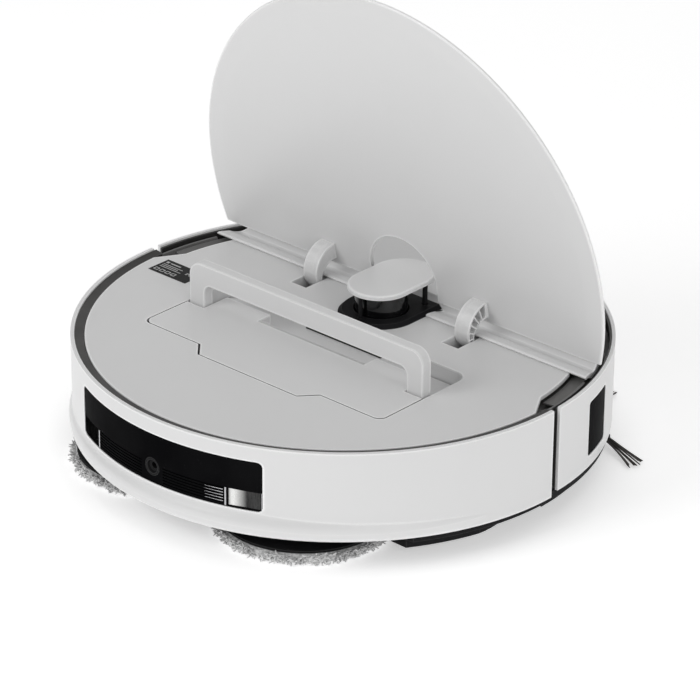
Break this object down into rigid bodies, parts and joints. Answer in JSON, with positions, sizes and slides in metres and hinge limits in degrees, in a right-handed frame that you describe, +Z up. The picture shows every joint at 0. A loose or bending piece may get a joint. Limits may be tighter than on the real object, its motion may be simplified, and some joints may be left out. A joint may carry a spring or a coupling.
{
  "type": "robot vacuum and mop",
  "caption": "Round robot vacuum and mop with an open hinged lid, lift-out dust box with a folding handle, pop-up lidar turret, sprung bumper, side brush, roller brush and spinning mop pads.",
  "frame": {"origin": "on the floor, below the centre of the round body", "axes": "+X to the robot's right, +Y to its front, +Z up"},
  "size_m": [0.35, 0.3537, 0.2971],
  "materials": {
    "white_plastic": "satin moulded plastic",
    "charcoal_plastic": "satin moulded plastic",
    "black_plastic": "fine textured plastic",
    "gloss_black": "polished infrared window",
    "contact_metal": "satin plated steel",
    "steel": "bright steel",
    "tyre_rubber": "matt treaded rubber",
    "brush_rubber": "soft rubber",
    "bristle": "nylon bristle",
    "mop_fabric": "microfibre loops",
    "filter_paper": "pleated filter paper",
    "circuit": "solder resist",
    "battery_wrap": "shrink wrap",
    "tank_plastic": "smoked translucent plastic",
    "label_film": "printed film"
  },
  "bodies": {
    "chassis": {"rear_shell": "white_plastic", "rear_window": "gloss_black", "charge_contacts": "contact_metal", "refill_port": "black_plastic", "rear_gutter": "charcoal_plastic", "front_gutter": "charcoal_plastic", "deck": "white_plastic", "front_cover": "white_plastic", "top_label": "label_film", "chassis_base": "black_plastic", "cliff_sensors": "gloss_black", "chassis_screws": "steel", "battery_door": "black_plastic", "battery_pack": "battery_wrap", "main_board": "circuit", "water_tank": "tank_plastic", "water_pump": "black_plastic", "fan_housing": "black_plastic", "hinge_pins": "steel", "hinge_brackets": "black_plastic", "lidar_base": "black_plastic", "brush_housing": "black_plastic", "brush_guard": "black_plastic", "wheel_brackets": "black_plastic", "caster_cup": "black_plastic"},
    "lid": {"lid": "white_plastic", "lid_arms": "white_plastic"},
    "dust_box": {"dust_box_plate": "white_plastic", "handle_pins": "steel", "dust_bin": "tank_plastic", "filter_frame": "black_plastic", "filter_pleats": "filter_paper"},
    "handle": {"handle": "white_plastic"},
    "lidar_lift": {"lidar_carriage": "black_plastic", "lidar_cap": "white_plastic"},
    "lidar_rotor": {"lidar_turret": "gloss_black"},
    "bumper": {"bumper_shell": "white_plastic", "bumper_windows": "gloss_black", "bumper_strip": "black_plastic", "bumper_liner": "charcoal_plastic"},
    "mop_lift": {"mop_carriage": "black_plastic"},
    "mop_left": {"mop_disc_left": "black_plastic", "mop_pad_left": "mop_fabric"},
    "mop_right": {"mop_disc_right": "black_plastic", "mop_pad_right": "mop_fabric"},
    "impeller": {"fan_impeller": "charcoal_plastic"},
    "main_brush": {"brush_core": "charcoal_plastic", "brush_fins": "brush_rubber"},
    "side_brush": {"side_brush_hub": "charcoal_plastic", "side_brush_bristles": "bristle"},
    "drive_arm_left": {"drive_arm_left": "black_plastic"},
    "drive_arm_right": {"drive_arm_right": "black_plastic"},
    "wheel_left": {"wheel_hub_left": "charcoal_plastic", "tyre_left": "tyre_rubber"},
    "wheel_right": {"wheel_hub_right": "charcoal_plastic", "tyre_right": "tyre_rubber"},
    "caster_swivel": {"caster_fork": "charcoal_plastic"},
    "caster_wheel": {"caster_wheel": "black_plastic"},
    "power_button": {"power_button": "white_plastic"},
    "home_button": {"home_button": "white_plastic"}
  },
  "joints": [
    {"name": "lid_hinge", "type": "hinge", "parent": "chassis", "child": "lid", "pos_m": [0, 0.0567, 0.0736], "axis": [-1, 0, 0], "range_deg": [-80, 0]},
    {"name": "dust_box_lift", "type": "slide", "parent": "chassis", "child": "dust_box", "axis": [0, 0, 1], "range_m": [0, 0.06]},
    {"name": "handle_fold", "type": "hinge", "parent": "dust_box", "child": "handle", "pos_m": [0, -0.0337, 0.0735], "axis": [1, 0, 0], "range_deg": [-90, 0]},
    {"name": "lidar_lift", "type": "slide", "parent": "chassis", "child": "lidar_lift", "axis": [0, 0, 1], "range_m": [-0.014, 0]},
    {"name": "lidar_spin", "type": "hinge", "parent": "lidar_lift", "child": "lidar_rotor", "pos_m": [0, 0.037, 0.08], "axis": [0, 0, 1], "continuous": true},
    {"name": "bumper_press", "type": "slide", "parent": "chassis", "child": "bumper", "axis": [0, 1, 0], "range_m": [-0.003, 0], "stiffness_N_per_m": 600, "springref_m": 0.001},
    {"name": "mop_lift", "type": "slide", "parent": "chassis", "child": "mop_lift", "axis": [0, 0, 1], "range_m": [0, 0.01]},
    {"name": "mop_spin_left", "type": "hinge", "parent": "mop_lift", "child": "mop_left", "pos_m": [-0.067, -0.0993, 0], "axis": [0, 0, 1], "continuous": true},
    {"name": "mop_spin_right", "type": "hinge", "parent": "mop_lift", "child": "mop_right", "pos_m": [0.0585, -0.0993, 0], "axis": [0, 0, 1], "continuous": true},
    {"name": "fan_spin", "type": "hinge", "parent": "chassis", "child": "impeller", "pos_m": [0.058, -0.118, 0.055], "axis": [0, 0, 1], "continuous": true},
    {"name": "main_brush_spin", "type": "hinge", "parent": "chassis", "child": "main_brush", "pos_m": [0, 0.053, 0.0226], "axis": [1, 0, 0], "continuous": true},
    {"name": "side_brush_spin", "type": "hinge", "parent": "chassis", "child": "side_brush", "pos_m": [0.111, 0.1145, 0.008], "axis": [0, 0, 1], "continuous": true},
    {"name": "suspension_left", "type": "hinge", "parent": "chassis", "child": "drive_arm_left", "pos_m": [-0.099, -0.028, 0.044], "axis": [-1, 0, 0], "range_deg": [0, 16], "stiffness_Nm_per_rad": 0.4, "springref_deg": 51.57},
    {"name": "suspension_right", "type": "hinge", "parent": "chassis", "child": "drive_arm_right", "pos_m": [0.099, -0.028, 0.044], "axis": [-1, 0, 0], "range_deg": [0, 16], "stiffness_Nm_per_rad": 0.4, "springref_deg": 51.57},
    {"name": "wheel_spin_left", "type": "hinge", "parent": "drive_arm_left", "child": "wheel_left", "pos_m": [-0.117, 0.005, 0.034], "axis": [1, 0, 0], "continuous": true},
    {"name": "wheel_spin_right", "type": "hinge", "parent": "drive_arm_right", "child": "wheel_right", "pos_m": [0.117, 0.005, 0.034], "axis": [1, 0, 0], "continuous": true},
    {"name": "caster_turn", "type": "hinge", "parent": "chassis", "child": "caster_swivel", "pos_m": [0, 0.128, 0.03], "axis": [0, 0, 1], "continuous": true},
    {"name": "caster_roll", "type": "hinge", "parent": "caster_swivel", "child": "caster_wheel", "pos_m": [0, 0.118, 0.013], "axis": [1, 0, 0], "continuous": true},
    {"name": "power_press", "type": "slide", "parent": "chassis", "child": "power_button", "axis": [0, 0, 1], "range_m": [-0.0012, 0], "stiffness_N_per_m": 900, "springref_m": 0.0003},
    {"name": "home_press", "type": "slide", "parent": "chassis", "child": "home_button", "axis": [0, 0, 1], "range_m": [-0.0012, 0], "stiffness_N_per_m": 900, "springref_m": 0.0003}
  ],
  "couplings": [
    {"joint": "handle_fold", "follows": "lid_hinge", "ratio": 1.125},
    {"joint": "mop_spin_right", "follows": "mop_spin_left", "ratio": -1}
  ]
}
